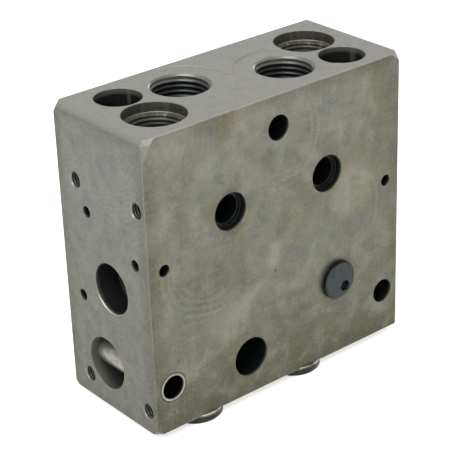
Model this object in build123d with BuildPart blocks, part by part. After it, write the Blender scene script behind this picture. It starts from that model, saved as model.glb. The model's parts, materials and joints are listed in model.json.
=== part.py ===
"""Hydraulic manifold block: a drilled steel block with three plugs, their washers and a bolt sleeve.

Units are millimetres. +Z is up, +X runs along the large faces and +Y runs from the front
mounting face to the back. The origin is the middle of the whole assembly's footprint, at the
height of the two bottom plug heads that it stands on. Every hole is placed as on a workshop
drawing: from the left end, the front face and the base of the block.
"""

import os
from math import radians, tan

from build123d import *

# ---------------------------------------------------------------- block
WIDTH = 110.0                  # left end to right end
DEPTH = 46.5                   # front mounting face to back
HEIGHT = 105.5                 # base to top
EDGE_BREAK = 0.4               # sharp edges taken off all round
END_BEVEL = 1.8                # hand-dressed bevel where the left end meets the top
# Corners dubbed off on a grinder: how far each is cut back along X, along Y and along Z
TOP_BACK_DUB = (3.0, 2.6, 4.2)       # left end, top, at the back
TOP_FRONT_DUB = (6.0, 0.8, 9.5)      # left end, top, at the front
TOP_RIGHT_DUB = (4.2, 2.6, 4.0)      # right end, top, at the front
BASE_BACK_DUB = (2.4, 2.4, 2.2)      # left end, base, at the back
BASE_FRONT_DUB = (3.4, 3.0, 2.4)     # left end, base, at the front

# ---------------------------------------------------------------- drills
TIP_ANGLE = 118.0              # point angle of the drills
PILOT_DIAMETER = 4.0           # pilot passages in the left end
GALLERY_DIAMETER = 9.0         # passages under the two work ports
PLAIN_NOSE_DIAMETER = 7.0      # passages under the two plain ports
NOSE_DIAMETER = 12.0           # the passage under the left cavity
RIGHT_NOSE_DIAMETER = 9.0      # the passage under the right cavity

# ---------------------------------------------------------------- top face, turned about one centre
TOP_CENTRE_X = 55.4
TOP_CENTRE_Y = 22.7
WORK_PORT_X = 17.45            # work ports, from the centre
WORK_PORT_Y = 5.8
CAVITY_X = 38.65               # cartridge cavities, from the centre
CAVITY_Y = 7.95
PLAIN_PORT_X = 38.55           # plain ports, from the centre
PLAIN_PORT_Y = 11.1

WORK_THREAD_PITCH_DIAMETER = 19.8   # G 1/2, drawn at its pitch diameter
WORK_MOUTH_DIAMETER = 21.0
WORK_SPOTFACE_DIAMETER = 34.0
WORK_SPOTFACE_DEPTH = 0.15
WORK_PORT_DEPTH = 19.0

CAVITY_MOUTH_DIAMETER = 21.2
CAVITY_MOUTH_DEPTH = 3.6
CAVITY_LAND_DIAMETER = 18.7
CAVITY_LAND_DEPTH = 5.4
CAVITY_RING_DIAMETER = 17.6
CAVITY_RING_DEPTH = 6.7
CAVITY_BODY_DIAMETER = 16.4
CAVITY_BODY_DEPTH = 43.0
CAVITY_TAPER = 0.7             # axial length of the conical shoulder under the mouth

PLAIN_PORT_DIAMETER = 16.0
PLAIN_PORT_DEPTH = 19.0
RIGHT_PLAIN_END = 60.0         # how deep the passage under the right plain port runs

# ---------------------------------------------------------------- left end
FLANGE_CENTRE_Y = 20.95        # middle of the four flange screws
FLANGE_CENTRE_Z = 44.4
FLANGE_SPACING_Y = 32.4
FLANGE_SPACING_Z = 72.8
FLANGE_THREAD_DIAMETER = 5.3   # M6, drawn at its pitch diameter
FLANGE_MOUTH_DIAMETER = 6.4
FLANGE_THREAD_DEPTH = 11.0

TANK_PORT_Y = 21.0
TANK_PORT_Z = 47.05
TANK_PORT_DIAMETER = 17.7
TANK_PORT_DEPTH = 9.5
TANK_BORE_DIAMETER = 16.8
TANK_BORE_DEPTH = 30.0
TANK_MOUTH_BREAK = 0.4

FEED_PORT_Y = 26.1
FEED_PORT_Z = 17.1
FEED_PORT_DIAMETER = 18.6
FEED_PORT_DEPTH = 48.0
FEED_GALLERY_DIAMETER = 12.0
FEED_GALLERY_END = 97.0        # how far the gallery runs from the left end

PILOT_A_Y = 31.6
PILOT_A_Z = 71.3
PILOT_A_DEPTH = 15.5           # into the passage under the left plain port
PILOT_B_Y = 6.65
PILOT_B_Z = 61.2
PILOT_B_DEPTH = 8.5            # meets the left pilot hole of the front face
PILOT_C_Y = 37.15
PILOT_C_Z = 38.8
PILOT_C_DEPTH = 11.0

# ---------------------------------------------------------------- front mounting face
FRONT_CENTRE_X = 55.1          # middle of the mounting pattern
BOLT_HOLE_DIAMETER = 8.8       # clearance for M8
LOWER_BOLT_X = 47.6            # lower mounting bolts, from the pattern's middle
LOWER_BOLT_Z = 16.4
UPPER_BOLT_Z = 93.9

TRANSFER_X = 21.05             # transfer ports, from the pattern's middle
TRANSFER_Z = 71.05
TRANSFER_DIAMETER = 10.0
TRANSFER_SEAT_DIAMETER = 13.2
TRANSFER_SEAT_DEPTH = 3.0
TRANSFER_OVERRUN = 4.0         # how far a transfer port runs past the middle of its gallery

FRONT_PILOT_X = 48.65          # pilot holes, from the pattern's middle
FRONT_PILOT_Z = 59.65
FRONT_PILOT_DIAMETER = 4.2
FRONT_PILOT_DEPTH = 9.0

DRAIN_X = 40.9
DRAIN_Z = 14.35
DRAIN_DIAMETER = 14.1
DRAIN_WALL = 15.0
DRAIN_BORE_DIAMETER = 12.0

# ---------------------------------------------------------------- front plug
GAUGE_X = 80.2
GAUGE_Z = 29.7
GAUGE_HEAD_DIAMETER = 13.8
GAUGE_HEAD_STAND = 2.2         # how far the head stands proud of the face
GAUGE_THREAD_DIAMETER = 10.0
GAUGE_THREAD_DEPTH = 11.0
GAUGE_SHANK_LENGTH = 8.0
GAUGE_BORE_DIAMETER = 6.0
GAUGE_SOCKET_FLATS = 3.8
GAUGE_SOCKET_DEPTH = 1.7
GAUGE_SOCKET_X = 2.1           # the socket sits off the head's centre
GAUGE_SOCKET_Z = -2.7
GAUGE_SEAL_DIAMETER = 14.2
GAUGE_SEAL_THICKNESS = 0.7

# ---------------------------------------------------------------- bottom plugs
SUMP_LEFT_X = 22.7
SUMP_SPACING_X = 44.7
SUMP_Y = 9.0
SUMP_HEAD_DIAMETER = 19.2
SUMP_HEAD_THICKNESS = 2.5
SUMP_SPOTFACE_DIAMETER = 21.4
SUMP_SPOTFACE_DEPTH = 0.5
SUMP_THREAD_DIAMETER = 14.0
SUMP_THREAD_DEPTH = 13.0
SUMP_SHANK_LENGTH = 10.0
SUMP_SOCKET_FLATS = 6.0
SUMP_SOCKET_DEPTH = 6.0
SUMP_WASHER_DIAMETER = 19.5
SUMP_WASHER_THICKNESS = 1.0
LEFT_RISER_DIAMETER = 10.0
LEFT_RISER_TOP = 56.0          # the left riser runs into the passage under the left cavity
RIGHT_RISER_DIAMETER = 6.0
RIGHT_RISER_TOP = 88.0         # the right riser ends in the right work port
PLUG_EDGE = 0.5                # bevel on the heads of all the plugs

# ---------------------------------------------------------------- bolt sleeve
SLEEVE_OUTER_DIAMETER = 9.9
SLEEVE_BORE_DIAMETER = 8.4

# ---------------------------------------------------------------- fits, on the radius
THREAD_CLEARANCE = 0.05
WASHER_CLEARANCE = 0.2
SLEEVE_CLEARANCE = 0.03

# ---------------------------------------------------------------- datum faces
SUMP_HEAD_STAND = SUMP_HEAD_THICKNESS + SUMP_WASHER_THICKNESS - SUMP_SPOTFACE_DEPTH
LEFT = -WIDTH / 2
FRONT = (GAUGE_HEAD_STAND - DEPTH) / 2
BASE = SUMP_HEAD_STAND

top_face = Plane(origin=(LEFT, FRONT, BASE + HEIGHT), x_dir=(1, 0, 0), z_dir=(0, 0, 1))
left_end = Plane(origin=(LEFT, FRONT, BASE), x_dir=(0, -1, 0), z_dir=(-1, 0, 0))
front_face = Plane(origin=(LEFT, FRONT, BASE), x_dir=(1, 0, 0), z_dir=(0, -1, 0))
base_face = Plane(origin=(LEFT, FRONT, BASE), x_dir=(1, 0, 0), z_dir=(0, 0, -1))


def on_top(x, y):
    """A spot on the top face, from the left end and the front face."""
    return top_face.from_local_coords(Vector(x, y, 0))


def on_left_end(y, z):
    """A spot on the left end, from the front face and the base."""
    return left_end.from_local_coords(Vector(-y, z, 0))


def on_front(x, z):
    """A spot on the front face, from the left end and the base."""
    return front_face.from_local_coords(Vector(x, z, 0))


def on_base(x, y):
    """A spot on the base, from the left end and the front face."""
    return base_face.from_local_coords(Vector(x, -y, 0))


def turned_profile(face, spot, stations):
    """Half the section of a hole or a plug: stations are (diameter, depth below the face)."""
    section = Plane(origin=spot, x_dir=face.x_dir, z_dir=face.y_dir)
    points = [(0, stations[0][1])]
    points += [(diameter / 2, depth) for diameter, depth in stations]
    if stations[-1][0] > 0:
        points.append((0, stations[-1][1]))
    with BuildSketch(section) as profile:
        with BuildLine():
            Polyline(*points, close=True)
        make_face()
    return profile.sketch


def turned(face, spot, stations, mode):
    """Turn a section about the line through the spot, square to the face."""
    revolve(turned_profile(face, spot, stations), Axis(spot, face.z_dir), mode=mode)


def drill_tip(diameter, depth):
    """The last two stations of a drilled hole whose full diameter ends at depth."""
    return [(diameter, depth), (0, depth + diameter / 2 / tan(radians(TIP_ANGLE / 2)))]


# Places that more than one piece or hole needs
left_work_port = (TOP_CENTRE_X - WORK_PORT_X, TOP_CENTRE_Y + WORK_PORT_Y)
right_work_port = (TOP_CENTRE_X + WORK_PORT_X, TOP_CENTRE_Y - WORK_PORT_Y)
left_cavity = (TOP_CENTRE_X - CAVITY_X, TOP_CENTRE_Y - CAVITY_Y)
right_cavity = (TOP_CENTRE_X + CAVITY_X, TOP_CENTRE_Y + CAVITY_Y)
left_plain_port = (TOP_CENTRE_X - PLAIN_PORT_X, TOP_CENTRE_Y + PLAIN_PORT_Y)
right_plain_port = (TOP_CENTRE_X + PLAIN_PORT_X, TOP_CENTRE_Y - PLAIN_PORT_Y)
left_transfer_x = FRONT_CENTRE_X - TRANSFER_X
right_transfer_x = FRONT_CENTRE_X + TRANSFER_X
sleeve_x = FRONT_CENTRE_X - LOWER_BOLT_X
sump_spots = {"left": SUMP_LEFT_X, "right": SUMP_LEFT_X + SUMP_SPACING_X}

# ---------------------------------------------------------------- block
with BuildPart() as block:
    with BuildSketch(Plane.XY.offset(BASE)):
        with Locations((0, FRONT + DEPTH / 2)):
            Rectangle(WIDTH, DEPTH)
    extrude(amount=HEIGHT)

    # A wide bevel along the top of the left end, then every other edge broken
    left_top_edge = block.faces().sort_by(Axis.X)[0].edges().sort_by(Axis.Z)[-1]
    chamfer(left_top_edge, END_BEVEL)
    bevel = block.faces().sort_by_distance((LEFT, FRONT + DEPTH / 2, BASE + HEIGHT))[0]
    bevel_edges = bevel.edges()
    chamfer([edge for edge in block.edges() if edge not in bevel_edges], EDGE_BREAK)

    # Corners dubbed off: a flat through three points, one on each edge of the corner
    for corner_x, corner_y, corner_z, (dub_x, dub_y, dub_z) in (
        (LEFT, FRONT + DEPTH, BASE + HEIGHT, TOP_BACK_DUB),
        (LEFT, FRONT, BASE + HEIGHT, TOP_FRONT_DUB),
        (LEFT + WIDTH, FRONT, BASE + HEIGHT, TOP_RIGHT_DUB),
        (LEFT, FRONT + DEPTH, BASE, BASE_BACK_DUB),
        (LEFT, FRONT, BASE, BASE_FRONT_DUB),
    ):
        along_x = dub_x if corner_x == LEFT else -dub_x
        along_y = dub_y if corner_y == FRONT else -dub_y
        along_z = dub_z if corner_z == BASE else -dub_z
        corner = Vector(corner_x, corner_y, corner_z)
        middle = corner + Vector(along_x, along_y, along_z) * (1 / 3)
        outward = Vector(-1 / along_x, -1 / along_y, -1 / along_z)
        with BuildSketch(Plane(origin=middle, z_dir=outward)) as dub:
            Circle(2 * max(dub_x, dub_y, dub_z))
        extrude(dub.sketch, amount=max(dub_x, dub_y, dub_z), mode=Mode.SUBTRACT)

    # Spotfaced and threaded work ports, each with its gallery drilled off centre
    for port, gallery_x, gallery_end in (
        (left_work_port, left_transfer_x, HEIGHT - TRANSFER_Z + TRANSFER_DIAMETER / 2),
        (right_work_port, right_transfer_x, HEIGHT - GAUGE_Z + GAUGE_BORE_DIAMETER / 2),
    ):
        lead = (WORK_MOUTH_DIAMETER - WORK_THREAD_PITCH_DIAMETER) / 2
        turned(
            top_face,
            on_top(*port),
            [
                (WORK_SPOTFACE_DIAMETER, 0),
                (WORK_SPOTFACE_DIAMETER, WORK_SPOTFACE_DEPTH),
                (WORK_MOUTH_DIAMETER, WORK_SPOTFACE_DEPTH),
                (WORK_THREAD_PITCH_DIAMETER, WORK_SPOTFACE_DEPTH + lead),
            ]
            + drill_tip(WORK_THREAD_PITCH_DIAMETER, WORK_PORT_DEPTH),
            Mode.SUBTRACT,
        )
        turned(
            top_face,
            on_top(gallery_x, port[1]),
            [(GALLERY_DIAMETER, WORK_PORT_DEPTH), (GALLERY_DIAMETER, gallery_end)],
            Mode.SUBTRACT,
        )

    # Stepped cartridge cavities
    left_nose_end = HEIGHT - TANK_PORT_Z
    right_nose_end = HEIGHT - FEED_PORT_Z - FEED_GALLERY_DIAMETER / 4
    for cavity, nose, nose_end in (
        (left_cavity, NOSE_DIAMETER, left_nose_end),
        (right_cavity, RIGHT_NOSE_DIAMETER, right_nose_end),
    ):
        turned(
            top_face,
            on_top(*cavity),
            [
                (CAVITY_MOUTH_DIAMETER, 0),
                (CAVITY_MOUTH_DIAMETER, CAVITY_MOUTH_DEPTH),
                (CAVITY_LAND_DIAMETER, CAVITY_MOUTH_DEPTH + CAVITY_TAPER),
                (CAVITY_LAND_DIAMETER, CAVITY_LAND_DEPTH),
                (CAVITY_RING_DIAMETER, CAVITY_LAND_DEPTH),
                (CAVITY_RING_DIAMETER, CAVITY_RING_DEPTH),
                (CAVITY_BODY_DIAMETER, CAVITY_RING_DEPTH),
                (CAVITY_BODY_DIAMETER, CAVITY_BODY_DEPTH),
                (nose, CAVITY_BODY_DEPTH),
                (nose, nose_end),
            ],
            Mode.SUBTRACT,
        )

    # Plain ports; the passage under the left one runs on to the feed port
    for port, nose_end in (
        (left_plain_port, HEIGHT - FEED_PORT_Z),
        (right_plain_port, RIGHT_PLAIN_END),
    ):
        turned(
            top_face,
            on_top(*port),
            [
                (PLAIN_PORT_DIAMETER, 0),
                (PLAIN_PORT_DIAMETER, PLAIN_PORT_DEPTH),
                (PLAIN_NOSE_DIAMETER, PLAIN_PORT_DEPTH),
                (PLAIN_NOSE_DIAMETER, nose_end),
            ],
            Mode.SUBTRACT,
        )

    # Left end: four flange screws, two ports and three pilot passages
    screw_lead = (FLANGE_MOUTH_DIAMETER - FLANGE_THREAD_DIAMETER) / 2
    for y in (-FLANGE_SPACING_Y / 2, FLANGE_SPACING_Y / 2):
        for z in (-FLANGE_SPACING_Z / 2, FLANGE_SPACING_Z / 2):
            turned(
                left_end,
                on_left_end(FLANGE_CENTRE_Y + y, FLANGE_CENTRE_Z + z),
                [(FLANGE_MOUTH_DIAMETER, 0), (FLANGE_THREAD_DIAMETER, screw_lead)]
                + [(FLANGE_THREAD_DIAMETER, FLANGE_THREAD_DEPTH)],
                Mode.SUBTRACT,
            )
    turned(
        left_end,
        on_left_end(TANK_PORT_Y, TANK_PORT_Z),
        [
            (TANK_PORT_DIAMETER + 2 * TANK_MOUTH_BREAK, 0),
            (TANK_PORT_DIAMETER, TANK_MOUTH_BREAK),
            (TANK_PORT_DIAMETER, TANK_PORT_DEPTH),
            (TANK_BORE_DIAMETER, TANK_PORT_DEPTH),
        ]
        + drill_tip(TANK_BORE_DIAMETER, TANK_BORE_DEPTH),
        Mode.SUBTRACT,
    )
    turned(
        left_end,
        on_left_end(FEED_PORT_Y, FEED_PORT_Z),
        [(FEED_PORT_DIAMETER, 0), (FEED_PORT_DIAMETER, FEED_PORT_DEPTH)]
        + [(FEED_GALLERY_DIAMETER, FEED_PORT_DEPTH), (FEED_GALLERY_DIAMETER, FEED_GALLERY_END)],
        Mode.SUBTRACT,
    )
    for y, z, depth in (
        (PILOT_A_Y, PILOT_A_Z, PILOT_A_DEPTH),
        (PILOT_B_Y, PILOT_B_Z, PILOT_B_DEPTH),
        (PILOT_C_Y, PILOT_C_Z, PILOT_C_DEPTH),
    ):
        turned(
            left_end,
            on_left_end(y, z),
            [(PILOT_DIAMETER, 0), (PILOT_DIAMETER, depth)],
            Mode.SUBTRACT,
        )

    # Front face: mounting bolts right through, the lower left one opened out for its sleeve
    sleeve_hole_diameter = SLEEVE_OUTER_DIAMETER + 2 * SLEEVE_CLEARANCE
    for x, z, diameter in (
        (FRONT_CENTRE_X, UPPER_BOLT_Z, BOLT_HOLE_DIAMETER),
        (FRONT_CENTRE_X + LOWER_BOLT_X, LOWER_BOLT_Z, BOLT_HOLE_DIAMETER),
        (sleeve_x, LOWER_BOLT_Z, sleeve_hole_diameter),
    ):
        turned(
            front_face,
            on_front(x, z),
            [(diameter, 0), (diameter, DEPTH)],
            Mode.SUBTRACT,
        )

    # Transfer ports: a seat for a seal, then a drilling that crosses its gallery
    for x, gallery_y in (
        (left_transfer_x, left_work_port[1]),
        (right_transfer_x, right_work_port[1]),
    ):
        turned(
            front_face,
            on_front(x, TRANSFER_Z),
            [
                (TRANSFER_SEAT_DIAMETER, 0),
                (TRANSFER_SEAT_DIAMETER, TRANSFER_SEAT_DEPTH),
                (TRANSFER_DIAMETER, TRANSFER_SEAT_DEPTH),
                (TRANSFER_DIAMETER, gallery_y + TRANSFER_OVERRUN),
            ],
            Mode.SUBTRACT,
        )

    for x in (FRONT_CENTRE_X - FRONT_PILOT_X, FRONT_CENTRE_X + FRONT_PILOT_X):
        turned(
            front_face,
            on_front(x, FRONT_PILOT_Z),
            [(FRONT_PILOT_DIAMETER, 0), (FRONT_PILOT_DIAMETER, FRONT_PILOT_DEPTH)],
            Mode.SUBTRACT,
        )

    # Drain port, into the feed bore
    turned(
        front_face,
        on_front(DRAIN_X, DRAIN_Z),
        [
            (DRAIN_DIAMETER, 0),
            (DRAIN_DIAMETER, DRAIN_WALL),
            (DRAIN_BORE_DIAMETER, DRAIN_WALL),
            (DRAIN_BORE_DIAMETER, FEED_PORT_Y),
        ],
        Mode.SUBTRACT,
    )

    # Gauge port behind the front plug, into the right gallery
    turned(
        front_face,
        on_front(GAUGE_X, GAUGE_Z),
        [
            (GAUGE_THREAD_DIAMETER, 0),
            (GAUGE_THREAD_DIAMETER, GAUGE_THREAD_DEPTH),
            (GAUGE_BORE_DIAMETER, GAUGE_THREAD_DEPTH),
            (GAUGE_BORE_DIAMETER, right_work_port[1]),
        ],
        Mode.SUBTRACT,
    )

    # Base: a spotfaced and threaded hole for each bottom plug, with its riser
    for side, riser_diameter, riser_top in (
        ("left", LEFT_RISER_DIAMETER, LEFT_RISER_TOP),
        ("right", RIGHT_RISER_DIAMETER, RIGHT_RISER_TOP),
    ):
        turned(
            base_face,
            on_base(sump_spots[side], SUMP_Y),
            [
                (SUMP_SPOTFACE_DIAMETER, 0),
                (SUMP_SPOTFACE_DIAMETER, SUMP_SPOTFACE_DEPTH),
                (SUMP_THREAD_DIAMETER, SUMP_SPOTFACE_DEPTH),
                (SUMP_THREAD_DIAMETER, SUMP_THREAD_DEPTH),
                (riser_diameter, SUMP_THREAD_DEPTH),
                (riser_diameter, riser_top),
            ],
            Mode.SUBTRACT,
        )


def plug_stations(head, stand, bedding, thread, length):
    """Section of a flanged plug, from the outside of its head to the end of its thread.

    The head stands proud of the face by `stand` and beds on its washer at `bedding`, both
    measured from the face. The thread ends `length` below the head.
    """
    bolt = thread - 2 * THREAD_CLEARANCE
    return [
        (head - 2 * PLUG_EDGE, -stand),
        (head, -stand + PLUG_EDGE),
        (head, bedding),
        (bolt, bedding),
        (bolt, bedding + length),
    ]


def tube(face, spot, inner, outer, start, end):
    """Turn a plain ring or tube, from one depth below the face to another."""
    section = Plane(origin=spot, x_dir=face.x_dir, z_dir=face.y_dir)
    with BuildSketch(section) as profile:
        with Locations(((inner + outer) / 4, (start + end) / 2)):
            Rectangle((outer - inner) / 2, end - start)
    revolve(profile.sketch, Axis(spot, face.z_dir))


def hex_socket(face, spot, stand, flats, depth):
    """Cut a hexagon socket into a head that stands proud of the face."""
    head = Plane(origin=spot + face.z_dir * stand, x_dir=face.x_dir, z_dir=face.z_dir)
    with BuildSketch(head) as socket:
        RegularPolygon(flats / 2, 6, major_radius=False)
    extrude(socket.sketch, amount=-depth, mode=Mode.SUBTRACT)


# ---------------------------------------------------------------- front plug and its seal
gauge_spot = on_front(GAUGE_X, GAUGE_Z)
with BuildPart() as front_plug:
    turned(
        front_face,
        gauge_spot,
        plug_stations(
            GAUGE_HEAD_DIAMETER,
            GAUGE_HEAD_STAND,
            -GAUGE_SEAL_THICKNESS,
            GAUGE_THREAD_DIAMETER,
            GAUGE_SHANK_LENGTH,
        ),
        Mode.ADD,
    )
    hex_socket(
        front_face,
        on_front(GAUGE_X + GAUGE_SOCKET_X, GAUGE_Z + GAUGE_SOCKET_Z),
        GAUGE_HEAD_STAND,
        GAUGE_SOCKET_FLATS,
        GAUGE_SOCKET_DEPTH,
    )

with BuildPart() as front_plug_seal:
    tube(
        front_face,
        gauge_spot,
        GAUGE_THREAD_DIAMETER + 2 * WASHER_CLEARANCE,
        GAUGE_SEAL_DIAMETER,
        -GAUGE_SEAL_THICKNESS,
        0,
    )


# ---------------------------------------------------------------- bottom plugs and washers
def bottom_plug(spot):
    """Turn a bottom plug in the part being made, then cut its hexagon socket."""
    turned(
        base_face,
        spot,
        plug_stations(
            SUMP_HEAD_DIAMETER,
            SUMP_HEAD_STAND,
            SUMP_SPOTFACE_DEPTH - SUMP_WASHER_THICKNESS,
            SUMP_THREAD_DIAMETER,
            SUMP_SHANK_LENGTH,
        ),
        Mode.ADD,
    )
    hex_socket(base_face, spot, SUMP_HEAD_STAND, SUMP_SOCKET_FLATS, SUMP_SOCKET_DEPTH)


def bottom_washer(spot):
    """Turn a bottom plug's washer, bedded in the spotface."""
    tube(
        base_face,
        spot,
        SUMP_THREAD_DIAMETER + 2 * WASHER_CLEARANCE,
        SUMP_WASHER_DIAMETER,
        SUMP_SPOTFACE_DEPTH - SUMP_WASHER_THICKNESS,
        SUMP_SPOTFACE_DEPTH,
    )


with BuildPart() as bottom_plug_left:
    bottom_plug(on_base(sump_spots["left"], SUMP_Y))

with BuildPart() as bottom_plug_right:
    bottom_plug(on_base(sump_spots["right"], SUMP_Y))

with BuildPart() as bottom_washer_left:
    bottom_washer(on_base(sump_spots["left"], SUMP_Y))

with BuildPart() as bottom_washer_right:
    bottom_washer(on_base(sump_spots["right"], SUMP_Y))

# ---------------------------------------------------------------- bolt sleeve
# It carries the lower left mounting bolt across the feed port, from the front face to the back.
with BuildPart() as bolt_sleeve:
    tube(
        front_face,
        on_front(sleeve_x, LOWER_BOLT_Z),
        SLEEVE_BORE_DIAMETER,
        SLEEVE_OUTER_DIAMETER,
        0,
        DEPTH,
    )

# ---------------------------------------------------------------- write the pieces
pieces = {
    "block": block,
    "front_plug": front_plug,
    "front_plug_seal": front_plug_seal,
    "bottom_plug_left": bottom_plug_left,
    "bottom_plug_right": bottom_plug_right,
    "bottom_washer_left": bottom_washer_left,
    "bottom_washer_right": bottom_washer_right,
    "bolt_sleeve": bolt_sleeve,
}
os.makedirs("parts", exist_ok=True)
for label, piece in pieces.items():
    piece.part.label = label
    export_step(piece.part, f"parts/{label}.step")
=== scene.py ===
"""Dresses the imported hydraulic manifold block: finishes, threads, floor, light and camera."""

import json
import logging
import math
from dataclasses import dataclass
from enum import Enum
from typing import Any

import bmesh
import bpy
from mathutils import Matrix, Vector


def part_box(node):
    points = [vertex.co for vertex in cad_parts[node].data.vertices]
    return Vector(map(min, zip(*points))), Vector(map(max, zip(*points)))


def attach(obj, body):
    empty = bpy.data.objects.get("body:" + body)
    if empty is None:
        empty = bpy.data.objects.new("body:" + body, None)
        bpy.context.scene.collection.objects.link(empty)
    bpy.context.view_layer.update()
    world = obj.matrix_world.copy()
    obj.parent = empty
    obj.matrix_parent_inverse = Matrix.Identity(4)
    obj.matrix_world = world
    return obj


logging.basicConfig(level=logging.INFO, format="%(message)s")
log = logging.getLogger("manifold")

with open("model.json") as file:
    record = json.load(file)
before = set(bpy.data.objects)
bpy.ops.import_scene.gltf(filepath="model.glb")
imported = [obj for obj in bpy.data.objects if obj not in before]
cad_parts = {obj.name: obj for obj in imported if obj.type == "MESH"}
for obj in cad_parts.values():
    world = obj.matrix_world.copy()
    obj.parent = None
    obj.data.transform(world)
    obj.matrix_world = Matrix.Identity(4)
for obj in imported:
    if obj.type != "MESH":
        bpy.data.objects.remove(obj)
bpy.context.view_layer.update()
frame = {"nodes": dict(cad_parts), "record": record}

MM = 0.001
# A point no deeper than this under a face lies on the face
FLAT_MM = 0.1
# Corners of a thread that lie closer than this are one
WELD_MM = 0.001


# ---------- colours and nodes
def colour(code: str) -> tuple[float, float, float, float]:
    """Turn an sRGB hex code into the linear colour that a shader takes.

    Args:
        code: Six hex digits, with or without a leading hash.

    Returns:
        Linear red, green and blue, and an alpha of one.
    """
    digits = code.lstrip("#")
    linear = []
    for start in (0, 2, 4):
        level = int(digits[start : start + 2], 16) / 255
        linear.append(level / 12.92 if level <= 0.04045 else ((level + 0.055) / 1.055) ** 2.4)
    return (linear[0], linear[1], linear[2], 1.0)


class Step(Enum):
    """The steps that a finish is worked out in.

    Each one says which node does it, the node's settings, the inputs that it takes in their
    order and the output that it gives, or None for all of them.
    """

    PLUS = ("ShaderNodeMath", {"operation": "ADD"}, (0, 1), 0)
    MINUS = ("ShaderNodeMath", {"operation": "SUBTRACT"}, (0, 1), 0)
    TIMES = ("ShaderNodeMath", {"operation": "MULTIPLY"}, (0, 1), 0)
    LEAST = ("ShaderNodeMath", {"operation": "MINIMUM"}, (0, 1), 0)
    MOST = ("ShaderNodeMath", {"operation": "MAXIMUM"}, (0, 1), 0)
    BELOW = ("ShaderNodeMath", {"operation": "LESS_THAN"}, (0, 1), 0)
    ABOVE = ("ShaderNodeMath", {"operation": "GREATER_THAN"}, (0, 1), 0)
    SINE = ("ShaderNodeMath", {"operation": "SINE"}, (0,), 0)
    UNSIGNED = ("ShaderNodeMath", {"operation": "ABSOLUTE"}, (0,), 0)
    # From one range to another, smoothly, and held at the ends
    RAMP = (
        "ShaderNodeMapRange",
        {"interpolation_type": "SMOOTHSTEP"},
        ("Value", "From Min", "From Max", "To Min", "To Max"),
        0,
    )
    # The share of the second colour, then the two colours
    BLEND = ("ShaderNodeMix", {"data_type": "RGBA", "clamp_factor": True}, (0, 6, 7), 2)
    # One over the size of the largest lumps in millimetres, then the finer layers
    NOISE = ("ShaderNodeTexNoise", {}, ("Vector", "Scale", "Detail", "Roughness"), 0)
    STRETCH = ("ShaderNodeVectorMath", {"operation": "MULTIPLY"}, (0, 1), 0)
    SHIFT = ("ShaderNodeVectorMath", {"operation": "SUBTRACT"}, (0, 1), 0)
    FOLD = ("ShaderNodeVectorMath", {"operation": "ABSOLUTE"}, (0,), 0)
    DISTANCE = ("ShaderNodeVectorMath", {"operation": "DISTANCE"}, (0, 1), "Value")
    LENGTH = ("ShaderNodeVectorMath", {"operation": "LENGTH"}, (0,), "Value")
    ALONG = ("ShaderNodeVectorMath", {"operation": "DOT_PRODUCT"}, (0, 1), "Value")
    PARTS = ("ShaderNodeSeparateXYZ", {}, (0,), None)
    HERE = ("ShaderNodeTexCoord", {}, (), "Object")
    MEASURED = ("ShaderNodeMapping", {}, ("Vector", "Location", "Scale"), 0)
    ROUNDED = ("ShaderNodeBevel", {"samples": 6}, ("Radius",), 0)
    RELIEF = ("ShaderNodeBump", {}, ("Height", "Strength", "Distance", "Normal"), 0)
    METAL = (
        "ShaderNodeBsdfPrincipled",
        {},
        ("Base Color", "Roughness", "Normal", "Metallic"),
        0,
    )
    SURFACE = ("ShaderNodeOutputMaterial", {}, ("Surface",), None)
    RAYS = ("ShaderNodeLightPath", {}, (), None)
    SKY = ("ShaderNodeBackground", {}, ("Color", "Strength"), 0)
    WORLD = ("ShaderNodeOutputWorld", {}, ("Surface",), None)


def add(tree: bpy.types.NodeTree, step: Step, *values: Any) -> Any:
    """Add one node with its settings and its inputs.

    Args:
        tree: The node tree that the node goes into.
        step: What the node does.
        values: Its inputs in their order: a socket is linked, and anything else is set. Those
            left out keep the node's own values.

    Returns:
        The output's socket, or all of them.
    """
    kind, settings, inputs, output = step.value
    node = tree.nodes.new(kind)
    for name, value in settings.items():
        setattr(node, name, value)
    for key, value in zip(inputs, values, strict=False):
        if isinstance(value, bpy.types.NodeSocket):
            tree.links.new(value, node.inputs[key])
        else:
            node.inputs[key].default_value = value
    return node.outputs if output is None else node.outputs[output]


def new_material(name: str, middle: Vector) -> tuple[bpy.types.Material, Any]:
    """Start a node material whose patterns are measured in millimetres.

    Args:
        name: The material's name.
        middle: The piece's middle, in metres.

    Returns:
        The material, and the socket of a point's place in millimetres from the middle.
    """
    material = bpy.data.materials.new(name)
    material.use_nodes = True
    tree = material.node_tree
    tree.nodes.clear()
    here = add(tree, Step.HERE)
    place = add(tree, Step.MEASURED, here, -middle / MM, (1 / MM, 1 / MM, 1 / MM))
    return material, place


def find_mount(name: str) -> dict[str, Any]:
    """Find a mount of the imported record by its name."""
    return next(entry for entry in frame["record"]["mounts"] if entry["name"] == name)


# ---------- finishes
@dataclass(frozen=True)
class BoreLight:
    """How far light reaches into one bore before its wall goes dark, and how dark it goes.

    The bore is found by a mount of the record, so that its look follows the block. A reflection is
    painted as a bright line down the wet wall, measured in millimetres along X from the bore's
    axis.
    """

    mount: str
    reach_mm: float
    fade_mm: float
    most: float = 1.0
    reflection_mm: float | None = None


@dataclass(frozen=True)
class Swirl:
    """A patch of faint arcs that a cutter or a rag left on a face.

    Its middle is measured in millimetres from the block's front lower left corner, and it shows
    only on the side that it leans to.
    """

    spot_mm: tuple[float, float, float]
    lean: tuple[float, float, float]
    from_mm: float
    to_mm: float
    step_mm: float
    strength: float


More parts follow.
